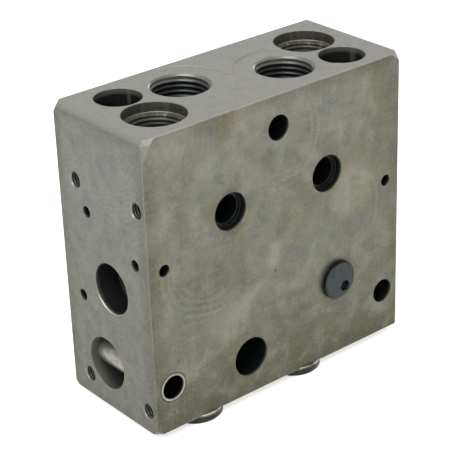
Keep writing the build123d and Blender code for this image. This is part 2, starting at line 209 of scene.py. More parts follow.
@dataclass(frozen=True)
class Mark:
    """A round-edged mark on the large face: a pip, a punch dot, a rubbed spot or a stain.

    Its middle is measured in millimetres from the face's lower left corner. It is strongest
    within its near radius and gone at its far one.
    """

    right_mm: float
    up_mm: float
    near_mm: float
    far_mm: float
    strength: float
    code: str
    ragged: bool = True


@dataclass(frozen=True)
class SheenWedge:
    """A wedge of painted sheen, the turned face's highlight, that spreads from a spot on the large
    face.

    Its angle is turned up from the face's lower edge, and its spread is how much it widens to
    each side for each millimetre that it runs.
    """

    right_mm: float
    up_mm: float
    angle_deg: float
    spread: float
    length_mm: float
    strength: float


class Ground:
    """Where each point of the block lies, as sockets that its finish reads.

    Lengths are in millimetres, and places are measured from the block's middle. The rest are
    shares from 0 to 1.
    """

    def __init__(self, tree: bpy.types.NodeTree, place: Any, low: Vector, high: Vector) -> None:
        """Work out where each point lies from the block's own box.

        Args:
            tree: The node tree.
            place: The point's place in millimetres from the block's middle.
            low: The box's low corner, in metres.
            high: The box's high corner, in metres.
        """
        self.tree, self.place = tree, place
        self.middle, self.half = (low + high) / 2, (high - low) / 2 / MM
        # The place along X, Y and Z, and the depth under each pair of outer faces
        self.across = across = add(tree, Step.PARTS, place)
        gap = add(tree, Step.SHIFT, tuple(self.half), add(tree, Step.FOLD, place))
        self.under = under = add(tree, Step.PARTS, gap)
        # The larger of the two side depths, the least depth, and how far the nearest edge is
        lower = add(tree, Step.LEAST, under[0], under[1])
        self.upper = add(tree, Step.MOST, under[0], under[1])
        self.nearest = add(tree, Step.LEAST, lower, under[2])
        self.to_edge = add(tree, Step.MOST, lower, add(tree, Step.LEAST, self.upper, under[2]))
        # The large faces, the front one alone, the top with its wide bevel, the ends, and all
        # that show scoring
        self.large = add(tree, Step.BELOW, under[1], FLAT_MM)
        self.front = add(tree, Step.TIMES, self.large, add(tree, Step.BELOW, across[1], 0.0))
        top = add(tree, Step.MINUS, add(tree, Step.BELOW, under[2], 2.0), self.large)
        self.top = add(tree, Step.TIMES, top, add(tree, Step.ABOVE, across[2], 0.0))
        self.ends = add(tree, Step.BELOW, under[0], FLAT_MM)
        self.scored = add(tree, Step.MOST, self.large, self.ends)
        # Clear of the broken edges and the cut-off corners, and sunk too, as in a bore
        to_corner = add(tree, Step.PLUS, add(tree, Step.PLUS, under[0], under[1]), under[2])
        clear = add(tree, Step.RAMP, self.to_edge, 1.5, 1.75, 0.0, 1.0)
        self.clear = add(tree, Step.TIMES, clear, add(tree, Step.ABOVE, to_corner, 12.0))
        sunk = add(tree, Step.RAMP, self.nearest, 0.18, 0.3, 0.0, 1.0)
        self.inside = add(tree, Step.TIMES, sunk, self.clear)
        # Clouds, mottling, specks and patches
        self.broad = add(tree, Step.NOISE, place, 1 / 26.0, 4.0, 0.55)
        self.fine = add(tree, Step.NOISE, place, 1 / 5.0, 6.0, 0.65)
        self.speck = add(tree, Step.NOISE, place, 1 / 0.7, 3.0, 0.6)
        self.patch = add(tree, Step.NOISE, place, 1 / 13.0, 2.0, 0.5)
        self.screw = self.from_flange_screw()

    def centre(self, name: str) -> Vector:
        """Place a mount, in millimetres from the block's middle."""
        return (Vector(find_mount(name)["pos_m"]) - self.middle) / MM

    def from_axis(self, name: str) -> Any:
        """Measure how far a point is from a mount's axis.

        Args:
            name: The mount's name.

        Returns:
            The distance's socket.
        """
        axis = find_mount(name)["axis"]
        flat = Vector(tuple(0.0 if abs(part) > 0.5 else 1.0 for part in axis))
        level = add(self.tree, Step.STRETCH, self.place, tuple(flat))
        return add(self.tree, Step.DISTANCE, level, tuple(self.centre(name) * flat))

    def from_spot(self, spot: Vector) -> Any:
        """Measure how far a point is from a spot on the block.

        Args:
            spot: The spot, from the block's front lower left corner.

        Returns:
            The distance's socket.
        """
        return add(self.tree, Step.DISTANCE, self.place, tuple(spot - self.half))

    def from_flange_screw(self) -> Any:
        """Measure how far a point is from the axis of the nearest flange screw.

        Returns:
            The distance's socket.
        """
        centre = self.centre("flange_screws")
        dims = find_mount("flange_screws")["dims"]
        moved = add(self.tree, Step.SHIFT, self.place, (0.0, centre.y, centre.z))
        folded = add(self.tree, Step.FOLD, moved)
        level = add(self.tree, Step.STRETCH, folded, (0.0, 1.0, 1.0))
        corner = (0.0, dims["spacing_x_mm"] / 2, dims["spacing_y_mm"] / 2)
        return add(self.tree, Step.DISTANCE, level, corner)


@dataclass(frozen=True)
class BlockSteel:
    """Milled carbon steel bar, wiped with oil and stored for years.

    The eye sees a dull grey metal, cloudy and olive with old oil on the large faces, with a few
    faint arcs in it, paler broken edges, and bores that go dark just inside their mouths. Light
    and shade are painted in too: a lighter top, darker ends, dark bores, glints, sheen and bright
    lips.
    """

    clean: str = "#71716A"
    # Painted light and shade: the top is painted lighter and the ends darker than the front
    top_painted_lighter: str = "#8C8B85"
    end_painted_darker: str = "#6A6B66"
    olive: str = "#625F4D"
    cool: str = "#5C605F"
    dark_olive: str = "#46432F"
    bare: str = "#A5A296"
    # The colour of the painted highlights on the mouths' countersinks and lips
    painted_highlight: str = "#E0DFD8"
    pale: str = "#8E8D82"
    wall: str = "#55544B"
    plain_wall: str = "#6A6B65"
    seat: str = "#4B4930"
    brassy: str = "#A8A384"
    deep: str = "#252929"
    black: str = "#121515"
    metallic: float = 0.7
    rounding_mm: float = 0.5
    bevel_mm: float = 1.8
    feed_radius_mm: float = 9.3
    cavity_radius_mm: float = 10.8
    spotface_radius_mm: float = 17.0
    # On a countersink a point's distance out and its depth add up to one sum
    port_cone_mm: float = 10.66
    screw_cone_mm: float = 3.21
    cone_reach_mm: float = 0.09
    tank_lip_mm: tuple[float, float] = (8.84, 9.4)
    screw_depth_mm: float = 9.0
    darkened_mm: float = 30.0
    sleeve_joint_mm: float = 5.2
    step_depths_mm: tuple[float, ...] = (3.6, 5.4, 6.75)
    bores: tuple[BoreLight, ...] = (
        BoreLight("work_port_left", 0.9, 3.4, 0.97),
        BoreLight("work_port_right", 0.9, 3.4, 0.97),
        BoreLight("cavity_mouth_left", 2.8, 8.0),
        BoreLight("cavity_mouth_right", 2.8, 8.0),
        BoreLight("plain_port_left", 1.4, 2.4, 0.97, 7.0),
        BoreLight("plain_port_right", 1.2, 2.4, 0.97, 7.5),
        BoreLight("tank_port", 0.5, 2.0, 0.93),
        BoreLight("feed_port", 0.2, 5.0, 0.72),
    )
    swirls: tuple[Swirl, ...] = (
        Swirl((24.0, 0.0, 56.0), (-0.6, 0.0, -0.8), 9.0, 20.0, 2.6, 1.0),
        Swirl((57.0, 0.0, 90.0), (0.9, 0.0, -0.4), 9.0, 17.0, 2.9, 0.9),
        Swirl((86.0, 0.0, 54.0), (1.0, 0.0, 0.0), 9.0, 16.0, 3.2, 0.8),
        Swirl((0.0, 22.0, 105.0), (0.0, 0.0, -1.0), 16.0, 38.0, 1.7, 0.4),
    )
    marks: tuple[Mark, ...] = (
        # Rubbed spots by the pip
        Mark(51.4, 47.4, 0.5, 5.0, 0.4, "#ADAA9E"),
        Mark(52.6, 51.6, 0.4, 4.4, 0.36, "#ADAA9E"),
        # Stains, most of them round the ports
        Mark(50.3, 84.0, 1.5, 6.5, 0.5, "#46432F"),
        Mark(34.0, 71.0, 6.6, 10.5, 0.4, "#46432F"),
        Mark(76.0, 71.0, 5.0, 8.5, 0.25, "#46432F"),
        # Round the front plug: a stain, and painted shade where the plug's head stands off the face
        Mark(80.2, 29.7, 7.0, 9.0, 0.5, "#46432F"),
        Mark(21.0, 50.0, 4.0, 17.0, 0.35, "#46432F"),
        Mark(62.0, 24.0, 3.0, 15.0, 0.3, "#46432F"),
        # Cleaner patches, and one more stain at the foot
        Mark(88.0, 62.0, 4.0, 14.0, 0.34, "#A5A296"),
        Mark(12.0, 104.0, 4.0, 13.0, 0.3, "#A5A296"),
        Mark(43.0, 104.0, 4.0, 12.0, 0.3, "#A5A296"),
        Mark(33.0, 3.0, 4.0, 15.0, 0.35, "#46432F"),
        # The pip in the middle and the punch dots by the bolt holes
        Mark(52.4, 43.0, 0.25, 0.5, 0.9, "#0A0A0A", False),
        Mark(7.3, 6.9, 0.2, 0.5, 0.8, "#0A0A0A", False),
        Mark(103.3, 5.3, 0.2, 0.5, 0.7, "#0A0A0A", False),
        Mark(103.2, 7.2, 0.2, 0.5, 0.7, "#0A0A0A", False),
    )
    sheen_wedges: tuple[SheenWedge, ...] = (
        SheenWedge(52.4, 43.6, 210.0, 0.2, 42.0, 0.42),
        SheenWedge(52.4, 46.0, 50.0, 0.08, 26.0, 0.18),
    )

    def oil(self, ground: Ground) -> Any:
        """Cloud the bare steel with old oil, and darken it towards the bottom of the faces.

        Args:
            ground: Where the point lies.

        Returns:
            The colour so far.
        """
        tree, across, half = ground.tree, ground.across, ground.half
        # The top painted lighter and the ends darker, as painted light and shade on the one steel
        base = add(tree, Step.BLEND, ground.top, colour(self.clean), colour(self.top_painted_lighter))
        base = add(tree, Step.BLEND, ground.ends, base, colour(self.end_painted_darker))
        thick = add(tree, Step.RAMP, ground.broad, 0.36, 0.64, 0.2, 1.0)
        thick = add(tree, Step.TIMES, thick, ground.large)
        base = add(tree, Step.BLEND, thick, base, colour(self.olive))
        off_top = add(tree, Step.MINUS, 1.0, add(tree, Step.TIMES, ground.top, 0.75))
        cool = add(tree, Step.RAMP, ground.fine, 0.5, 0.72, 0.0, 0.5)
        cool = add(tree, Step.TIMES, cool, off_top)
        base = add(tree, Step.BLEND, cool, base, colour(self.cool))
        # Darker towards the bottom of the faces, and more so at the foot of the large ones
        low_down = add(tree, Step.RAMP, across[2], -half.z, half.z * 0.7, 0.4, 0.0)
        mottle = add(tree, Step.RAMP, ground.fine, 0.25, 0.7, 0.5, 1.0)
        low_down = add(tree, Step.TIMES, low_down, mottle)
        base = add(tree, Step.BLEND, low_down, base, colour(self.dark_olive))
        foot = add(tree, Step.RAMP, across[2], -half.z, -half.z * 0.55, 0.8, 0.0)
        foot = add(tree, Step.TIMES, foot, ground.large)
        base = add(tree, Step.BLEND, foot, base, colour(self.dark_olive))
        smear = add(tree, Step.NOISE, ground.place, 1 / 11.0, 6.0, 0.65)
        wiped = add(tree, Step.RAMP, smear, 0.46, 0.7, 0.0, 0.34)
        wiped = add(tree, Step.TIMES, wiped, ground.large)
        base = add(tree, Step.BLEND, wiped, base, colour(self.pale))
        border = add(tree, Step.RAMP, ground.to_edge, 0.8, 7.0, 0.5, 0.0)
        ragged = add(tree, Step.RAMP, ground.broad, 0.35, 0.6, 0.35, 1.0)
        border = add(tree, Step.TIMES, border, add(tree, Step.TIMES, ground.scored, ragged))
        base = add(tree, Step.BLEND, border, base, colour(self.dark_olive))

        # A cool band of old stain that climbs across the large face
        wander = add(tree, Step.PLUS, across[2], add(tree, Step.TIMES, ground.broad, 14.0))
        slope = add(tree, Step.PLUS, add(tree, Step.TIMES, across[0], -0.08), wander)
        band = add(tree, Step.RAMP, add(tree, Step.UNSIGNED, slope), 2.0, 9.0, 0.45, 0.0)
        broken = add(tree, Step.NOISE, ground.place, 1 / 7.0, 4.0, 0.6)
        broken = add(tree, Step.RAMP, broken, 0.42, 0.6, 0.0, 1.0)
        band = add(tree, Step.TIMES, add(tree, Step.TIMES, band, broken), ground.front)
        return add(tree, Step.BLEND, band, base, colour(self.cool))

    def hatch(self, ground: Ground) -> Any:
        """Draw the cutter's fine lines, up and along, coarser than the real ones so they show.

        Args:
            ground: Where the point lies.

        Returns:
            How strong the lines are.
        """
        tree = ground.tree
        lines: Any = 0.0
        for stretch in ((1.0, 1.0, 0.04), (0.04, 1.0, 1.0)):
            drawn_out = add(tree, Step.STRETCH, ground.place, stretch)
            line = add(tree, Step.NOISE, drawn_out, 1 / 0.8, 3.0, 0.7)
            line = add(tree, Step.RAMP, line, 0.42, 0.72, 0.0, 1.0)
            lines = add(tree, Step.PLUS, lines, line)
        return lines

    def arcs(self, ground: Ground) -> Any:
        """Draw the swirls: a few faint arcs, broken up and gone over most of each turn.

        Args:
            ground: Where the point lies.

        Returns:
            How strong the arcs are.
        """
        tree, patch = ground.tree, ground.patch
        arcs: Any = 0.0
        for swirl in self.swirls:
            spot = Vector(swirl.spot_mm)
            out = ground.from_spot(spot)
            side = add(tree, Step.ALONG, ground.place, swirl.lean)
            edge = (spot - ground.half).dot(Vector(swirl.lean))
            wobbly = add(tree, Step.PLUS, out, add(tree, Step.TIMES, patch, 5.0))
            turns = add(tree, Step.TIMES, wobbly, math.tau / swirl.step_mm)
            wave = add(tree, Step.SINE, turns)
            arc = add(tree, Step.RAMP, wave, -0.6, 1.0, 0.0, swirl.strength)
            for shown in (
                add(tree, Step.RAMP, out, swirl.from_mm, swirl.from_mm + 4.0, 0.0, 1.0),
                add(tree, Step.RAMP, out, swirl.to_mm - 2.0, swirl.to_mm + 3.0, 1.0, 0.0),
                add(tree, Step.RAMP, side, edge - 2.0, edge + 9.0, 0.0, 1.0),
                add(tree, Step.RAMP, patch, 0.36, 0.6, 0.3, 1.0),
            ):
                arc = add(tree, Step.TIMES, arc, shown)
            arcs = add(tree, Step.PLUS, arcs, arc)
        return add(tree, Step.TIMES, arcs, ground.scored)

    def mark(self, ground: Ground, base: Any) -> Any:
        """Put the marks, and the wedges of painted sheen, on the large face.

        Args:
            ground: Where the point lies.
            base: The colour so far.

        Returns:
            The new colour.
        """
        tree = ground.tree
        uneven = add(tree, Step.RAMP, ground.fine, 0.34, 0.66, 0.35, 1.0)
        for mark in self.marks:
            out = ground.from_spot(Vector((mark.right_mm, 0.0, mark.up_mm)))
            shape = add(tree, Step.RAMP, out, mark.near_mm, mark.far_mm, mark.strength, 0.0)
            if mark.ragged:
                shape = add(tree, Step.TIMES, shape, uneven)
            shape = add(tree, Step.TIMES, shape, ground.front)
            base = add(tree, Step.BLEND, shape, base, colour(mark.code))

        mottled = add(tree, Step.RAMP, ground.fine, 0.3, 0.65, 0.35, 1.0)
        patchy = add(tree, Step.RAMP, ground.patch, 0.3, 0.6, 0.6, 1.0)
        # Painted sheen: a pale fan of highlight that spreads from the pip
        for sheen_wedge in self.sheen_wedges:
            turn = math.radians(sheen_wedge.angle_deg)
            forward = Vector((math.cos(turn), 0.0, math.sin(turn)))
            sideways = Vector((-math.sin(turn), 0.0, math.cos(turn)))
            start = Vector((sheen_wedge.right_mm, 0.0, sheen_wedge.up_mm)) - ground.half
            run = add(tree, Step.ALONG, ground.place, tuple(forward))
            run = add(tree, Step.MINUS, run, start.dot(forward))
            rise = add(tree, Step.ALONG, ground.place, tuple(sideways))
            rise = add(tree, Step.MINUS, rise, start.dot(sideways))
            rise = add(tree, Step.UNSIGNED, rise)
            beyond = add(tree, Step.MINUS, rise, add(tree, Step.TIMES, run, sheen_wedge.spread))
            shape = add(tree, Step.RAMP, beyond, -3.0, 2.5, sheen_wedge.strength, 0.0)
            begun = add(tree, Step.RAMP, run, 0.0, 7.0, 0.0, 1.0)
            fading = sheen_wedge.length_mm * 0.3
            lasting = add(tree, Step.RAMP, run, fading, sheen_wedge.length_mm, 1.0, 0.0)
            for share in (begun, lasting, mottled, patchy, ground.front):
                shape = add(tree, Step.TIMES, shape, share)
            base = add(tree, Step.BLEND, shape, base, colour(self.bare))
        return base

    def wear(self, ground: Ground, base: Any) -> Any:
        """Wear the edges pale, where the upright ones keep more of their skin.

        Args:
            ground: Where the point lies.
            base: The colour so far.

        Returns:
            The new colour.
        """
        tree, under, across = ground.tree, ground.under, ground.across
        worn = add(tree, Step.RAMP, ground.to_edge, 0.2, 0.7, 0.45, 0.0)
        upright = add(tree, Step.RAMP, ground.upper, 0.5, 1.2, 0.1, 1.0)
        patchy = add(tree, Step.RAMP, ground.fine, 0.35, 0.6, 0.4, 1.0)
        patchy = add(tree, Step.TIMES, patchy, upright)
        worn = add(tree, Step.TIMES, worn, patchy)
        base = add(tree, Step.BLEND, worn, base, colour(self.bare))
        cut = add(tree, Step.RAMP, ground.nearest, 0.05, 0.2, 0.0, 0.2)
        cut = add(tree, Step.TIMES, cut, add(tree, Step.MINUS, 1.0, ground.clear))
        cut = add(tree, Step.TIMES, cut, add(tree, Step.ABOVE, across[2], 0.0))
        cut = add(tree, Step.TIMES, cut, patchy)
        base = add(tree, Step.BLEND, cut, base, colour(self.bare))

        # The hand-dressed bevel of the left end takes the ends' painted darker tone in place of the
        # top's painted lighter one, most of all low down
        left = add(tree, Step.TIMES, ground.top, add(tree, Step.BELOW, across[0], 0.0))
        slant = add(tree, Step.RAMP, under[0], self.bevel_mm - 0.2, self.bevel_mm + 0.1, 1.0, 0.0)
        dull = add(tree, Step.RAMP, under[0], FLAT_MM, self.bevel_mm, 0.6, 0.3)
        dull = add(tree, Step.TIMES, add(tree, Step.TIMES, left, slant), dull)
        return add(tree, Step.BLEND, dull, base, colour(self.end_painted_darker))

    def port_mouths(self, ground: Ground, base: Any) -> tuple[Any, Any]:
        """Finish the spotface's turned edge and the countersink of each work port.

        Args:
            ground: Where the point lies.
            base: The colour so far.

        Returns:
            The new colour, and how strong the painted highlight on the countersinks is.
        """
        tree, across, depth = ground.tree, ground.across, ground.under[2]
        edge = self.spotface_radius_mm
        painted_highlight: Any = 0.0
        for side in ("left", "right"):
            out = ground.from_axis(f"work_port_{side}")
            # The spotface's edge, worn away in places
            rim = add(tree, Step.RAMP, out, edge - 0.25, edge - 0.05, 0.0, 1.0)
            outer = add(tree, Step.RAMP, out, edge + 0.05, edge + 0.3, 1.0, 0.0)
            kept = add(tree, Step.RAMP, ground.patch, 0.42, 0.58, 0.0, 0.7)
            for share in (outer, kept, ground.top):
                rim = add(tree, Step.TIMES, rim, share)
            base = add(tree, Step.BLEND, rim, base, colour(self.bare))
            # The countersink, painted with shade on all but its left side
            off = add(tree, Step.MINUS, add(tree, Step.PLUS, out, depth), self.port_cone_mm)
            mouth = add(tree, Step.BELOW, add(tree, Step.UNSIGNED, off), self.cone_reach_mm)
            within = add(tree, Step.BELOW, out, self.port_cone_mm - 0.1)
            mouth = add(tree, Step.TIMES, mouth, within)
            under_face = add(tree, Step.RAMP, depth, 0.16, 0.2, 0.0, 1.0)
            mouth = add(tree, Step.TIMES, mouth, under_face)
            centre = ground.centre(f"work_port_{side}").x
            shaded_cone = add(tree, Step.RAMP, across[0], centre - 8.6, centre - 4.0, 0.0, 0.95)
            shaded_cone = add(tree, Step.TIMES, mouth, shaded_cone)
            base = add(tree, Step.BLEND, shaded_cone, base, colour(self.plain_wall))
            # A painted highlight on the countersink, strongest on its left side
            lit_side = add(tree, Step.RAMP, across[0], centre - 9.2, centre - 4.0, 2.2, 0.04)
            painted_highlight = add(tree, Step.PLUS, painted_highlight, add(tree, Step.TIMES, mouth, lit_side))
        return base, painted_highlight

    def end_lip_highlights(self, ground: Ground) -> Any:
        """Paint highlights on the lips of the tank port and of the flange screws' holes.

        Args:
            ground: Where the point lies.

        Returns:
            How strong the painted highlight is.
        """
        tree, depth, screw = ground.tree, ground.under[0], ground.screw
        tank = ground.from_axis("tank_port")
        inner, outer = self.tank_lip_mm
        lip = add(tree, Step.ABOVE, tank, inner)
        lip = add(tree, Step.TIMES, lip, add(tree, Step.BELOW, tank, outer))
        off = add(tree, Step.MINUS, add(tree, Step.PLUS, screw, depth), self.screw_cone_mm)
        screw_lip = add(tree, Step.BELOW, add(tree, Step.UNSIGNED, off), self.cone_reach_mm)
        within = add(tree, Step.BELOW, screw, self.screw_cone_mm + self.cone_reach_mm)
        screw_lip = add(tree, Step.TIMES, screw_lip, within)
        # Painted highlight: the tank port's lip is lit most at its lowest part
        lowest = add(tree, Step.RAMP, ground.across[2], -14.6, -8.0, 0.7, 0.06)
        lip = add(tree, Step.TIMES, lip, lowest)
        lip = add(tree, Step.MOST, lip, add(tree, Step.TIMES, screw_lip, 0.08))
        under_face = add(tree, Step.RAMP, depth, 0.04, FLAT_MM, 0.0, 1.0)
        lip = add(tree, Step.TIMES, lip, under_face)
        return add(tree, Step.TIMES, lip, add(tree, Step.BELOW, depth, 0.8))

    def shade(self, ground: Ground) -> tuple[Any, Any]:
        """Paint shade into each bore from where light stops reaching, and paint its reflection.

        Args:
            ground: Where the point lies.

        Returns:
            How dark the painted shade is, and how strong the painted reflections are.
        """
        tree, across, half = ground.tree, ground.across, ground.half
        dark = add(tree, Step.RAMP, ground.nearest, 0.35, 1.2, 0.0, 1.0)
        # The flange screws' threads stay lighter, so that they show
        tapped = add(tree, Step.BELOW, ground.screw, self.screw_cone_mm + self.cone_reach_mm)
        shallow = add(tree, Step.BELOW, ground.under[0], self.screw_depth_mm)
        tapped = add(tree, Step.TIMES, tapped, shallow)
        lighter = add(tree, Step.TIMES, add(tree, Step.TIMES, dark, tapped), 0.5)
        dark = add(tree, Step.MINUS, dark, lighter)
        shine: Any = 0.0
        for bore in self.bores:
            mount = find_mount(bore.mount)
            margin = 0.75 if mount["kind"] == "threaded_hole" else 0.2
            radius = mount["dims"].get("r_mm", self.feed_radius_mm) + margin
            out = ground.from_axis(bore.mount)
            along = add(tree, Step.PLUS, across[0], half.x)
            if mount["axis"][2] > 0.5:
                along = add(tree, Step.MINUS, half.z, across[2])
            lit = add(tree, Step.RAMP, along, bore.reach_mm, bore.fade_mm, 0.0, bore.most)
            within = add(tree, Step.BELOW, along, self.darkened_mm)
            within = add(tree, Step.TIMES, add(tree, Step.BELOW, out, radius), within)
            keep = add(tree, Step.TIMES, dark, add(tree, Step.MINUS, 1.0, within))
            dark = add(tree, Step.PLUS, keep, add(tree, Step.TIMES, lit, within))
            if bore.reflection_mm is not None:
                # A painted reflection: a bright line down the wall, ending a few millimetres in
                centre = ground.centre(bore.mount).x + bore.reflection_mm
                beside = add(tree, Step.UNSIGNED, add(tree, Step.MINUS, across[0], centre))
                reflection = add(tree, Step.RAMP, beside, 0.15, 0.45, 0.3, 0.0)
                reflection = add(tree, Step.TIMES, reflection, within)
                ending = add(tree, Step.RAMP, along, 4.5, 6.0, 1.0, 0.0)
                shine = add(tree, Step.PLUS, shine, add(tree, Step.TIMES, reflection, ending))
        return dark, shine

    def bore_wall(self, ground: Ground) -> Any:
        """Colour the walls of the bores.

        In the two cavities there is an olive seat under the first step, painted darker as shade,
        with painted brassy glints, and each step has a painted highlight on its lip.

        Args:
            ground: Where the point lies.

        Returns:
            The walls' colour.
        """
        tree, depth = ground.tree, ground.under[2]
        drawn_down = add(tree, Step.STRETCH, ground.place, (1.0, 1.0, 0.12))
        stripe = add(tree, Step.NOISE, drawn_down, 1 / 2.0, 3.0, 0.55)
        cavity: Any = 0.0
        for side in ("left", "right"):
            out = ground.from_axis(f"cavity_mouth_{side}")
            within = add(tree, Step.BELOW, out, self.cavity_radius_mm)
            cavity = add(tree, Step.PLUS, cavity, within)
        seat = add(tree, Step.RAMP, depth, 3.62, 3.8, 0.0, 1.0)
        seat = add(tree, Step.TIMES, seat, add(tree, Step.RAMP, depth, 5.1, 5.3, 1.0, 0.0))
        seat = add(tree, Step.TIMES, seat, cavity)
        # The seat is olive, painted darker against the light that falls on its ledge
        wall = add(tree, Step.BLEND, cavity, colour(self.plain_wall), colour(self.wall))
        wall = add(tree, Step.BLEND, add(tree, Step.TIMES, seat, 0.85), wall, colour(self.seat))
        brassy_glint = add(tree, Step.PLUS, add(tree, Step.TIMES, seat, 0.4), 0.22)
        stripe = add(tree, Step.RAMP, stripe, 0.5, 0.72, 0.0, 1.0)
        brassy_glint = add(tree, Step.TIMES, add(tree, Step.TIMES, brassy_glint, stripe), cavity)
        wall = add(tree, Step.BLEND, brassy_glint, wall, colour(self.brassy))
        # A painted highlight on the lip of each step
        for step_depth in self.step_depths_mm:
            off = add(tree, Step.UNSIGNED, add(tree, Step.MINUS, depth, step_depth))
            lip = add(tree, Step.RAMP, off, 0.04, 0.14, 0.45, 0.0)
            lip = add(tree, Step.TIMES, lip, cavity)
            wall = add(tree, Step.BLEND, lip, wall, colour(self.bare))
        return wall

    def make(self) -> bpy.types.Material:
        """Build the block's material from the block's own box and mounts.

        Returns:
            The finished material.
        """
        low, high = (Vector(corner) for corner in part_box("block"))
        material, place = new_material("milled carbon steel", (low + high) / 2)
        tree = material.node_tree
        ground = Ground(tree, place, low, high)
        inside = ground.inside
        base = self.oil(ground)

        hatch = self.hatch(ground)
        scratched = add(tree, Step.RAMP, ground.patch, 0.35, 0.65, 0.02, 0.07)
        scratched = add(tree, Step.TIMES, ground.scored, scratched)
        scratched = add(tree, Step.TIMES, hatch, scratched)
        base = add(tree, Step.BLEND, scratched, base, colour(self.bare))
        pitted = add(tree, Step.RAMP, ground.speck, 0.52, 0.75, 0.0, 0.28)
        base = add(tree, Step.BLEND, pitted, base, colour(self.deep))
        glinting = add(tree, Step.RAMP, ground.speck, 0.3, 0.45, 0.14, 0.0)
        base = add(tree, Step.BLEND, glinting, base, colour(self.bare))
        arcs = self.arcs(ground)
        base = add(tree, Step.BLEND, add(tree, Step.TIMES, arcs, 0.13), base, colour(self.bare))
        base = self.mark(ground, base)
        base = self.wear(ground, base)
        base, painted_highlight = self.port_mouths(ground, base)
        painted_highlight = add(tree, Step.PLUS, painted_highlight, self.end_lip_highlights(ground))

        # Bores: an oily wall, then painted shade, then painted reflections and the painted
        # highlight on the mouths
        dark, shine = self.shade(ground)
        walled = add(tree, Step.TIMES, inside, 0.9)
        base = add(tree, Step.BLEND, walled, base, self.bore_wall(ground))
        dark = add(tree, Step.TIMES, inside, dark)
        base = add(tree, Step.BLEND, dark, base, colour(self.deep))
        shine = add(tree, Step.TIMES, inside, shine)
        base = add(tree, Step.BLEND, shine, base, colour(self.bare))
        uneven = add(tree, Step.RAMP, ground.patch, 0.4, 0.6, 0.35, 0.9)
        painted_highlight = add(tree, Step.TIMES, painted_highlight, uneven)
        base = add(tree, Step.BLEND, painted_highlight, base, colour(self.painted_highlight))

        # Behind its mouth a bore of the large face is painted all but black, as shade
        depth = ground.under[1]
        facing = add(tree, Step.BELOW, add(tree, Step.MINUS, depth, ground.nearest), 0.01)
        black = add(tree, Step.TIMES, facing, add(tree, Step.RAMP, depth, 0.6, 3.0, 0.0, 0.6))
        black = add(tree, Step.TIMES, inside, black)
        base = add(tree, Step.BLEND, black, base, colour(self.black))

        # The dark joint line round the bolt sleeve
        out = ground.from_axis("bolt_sleeve_bore")
        gone = self.sleeve_joint_mm + 0.25
        joint = add(tree, Step.RAMP, out, self.sleeve_joint_mm, gone, 0.85, 0.0)
        joint = add(tree, Step.TIMES, ground.front, joint)
        base = add(tree, Step.BLEND, joint, base, colour(self.deep))

        # Broken edges catch the light as if rounded over half a millimetre
        scores = add(tree, Step.PLUS, ground.speck, add(tree, Step.TIMES, hatch, 0.3))
        relief = add(tree, Step.PLUS, add(tree, Step.TIMES, arcs, 0.3), scores)
        rounded = add(tree, Step.ROUNDED, self.rounding_mm * MM)
        bump = add(tree, Step.RELIEF, relief, 0.25, 0.05 * MM, rounded)
        rough = add(tree, Step.RAMP, ground.fine, 0.3, 0.7, 0.46, 0.6)
        rough = add(tree, Step.MINUS, rough, add(tree, Step.TIMES, inside, 0.16))
        add(tree, Step.SURFACE, add(tree, Step.METAL, base, rough, bump, self.metallic))
        return material


@dataclass(frozen=True)
class TurnedMetal:
    """A turned, drawn or moulded piece: a fine grain, a little dirt and a sheen of its own.

    Its rim and the hole through its front can be painted darker than its face, as painted shade.
    """

    name: str
    node: str
    face_colour: str
    dirt_colour: str
    metallic: float
    rough: float
    dirt_mm: float = 2.5
    dirt_share: float = 0.5
    bore_mm: float = 0.0
    rim_mm: float = 0.0
    darker_skirt: bool = False
    dark: str = "#0E0F10"

    def make(self) -> bpy.types.Material:
        """Build the piece's material about its own middle.

        Returns:
            The finished material.
        """
        low, high = (Vector(corner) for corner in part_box(self.node))
        half = (high - low) / 2 / MM
        material, place = new_material(self.name, (low + high) / 2)
        tree = material.node_tree
        dirt = add(tree, Step.NOISE, place, 1 / self.dirt_mm, 4.0, 0.6)
        grain = add(tree, Step.NOISE, place, 1 / 0.35, 2.0, 0.5)
        dirty = add(tree, Step.RAMP, dirt, 0.42, 0.7, 0.0, self.dirt_share)
        base = add(tree, Step.BLEND, dirty, colour(self.face_colour), colour(self.dirt_colour))
        across = add(tree, Step.PARTS, place)
        out = add(tree, Step.LENGTH, add(tree, Step.STRETCH, place, (1.0, 0.0, 1.0)))
        # Painted shade in the hole through the piece's front
        if self.bore_mm:
            from_end = add(tree, Step.PLUS, across[1], half.y)
            hole = add(tree, Step.RAMP, from_end, 0.15, 0.9, 0.0, 1.0)
            hole = add(tree, Step.TIMES, hole, add(tree, Step.BELOW, out, self.bore_mm))
            base = add(tree, Step.BLEND, hole, base, colour(self.dark))
        # Darker on the lower part of the piece
        if self.darker_skirt:
            skirt = add(tree, Step.RAMP, across[2], -0.05, 0.15, 0.85, 0.0)
            base = add(tree, Step.BLEND, skirt, base, colour(self.dirt_colour))
        # Painted shade round the rim
        if self.rim_mm:
            rim = add(tree, Step.RAMP, out, self.rim_mm - 0.2, self.rim_mm + 0.2, 0.0, 0.9)
            base = add(tree, Step.BLEND, rim, base, colour(self.dark))
        rough = add(tree, Step.RAMP, dirt, 0.3, 0.7, self.rough - 0.08, self.rough + 0.08)
        bump = add(tree, Step.RELIEF, grain, 0.2, 0.03 * MM)
        add(tree, Step.SURFACE, add(tree, Step.METAL, base, rough, bump, self.metallic))
        return material


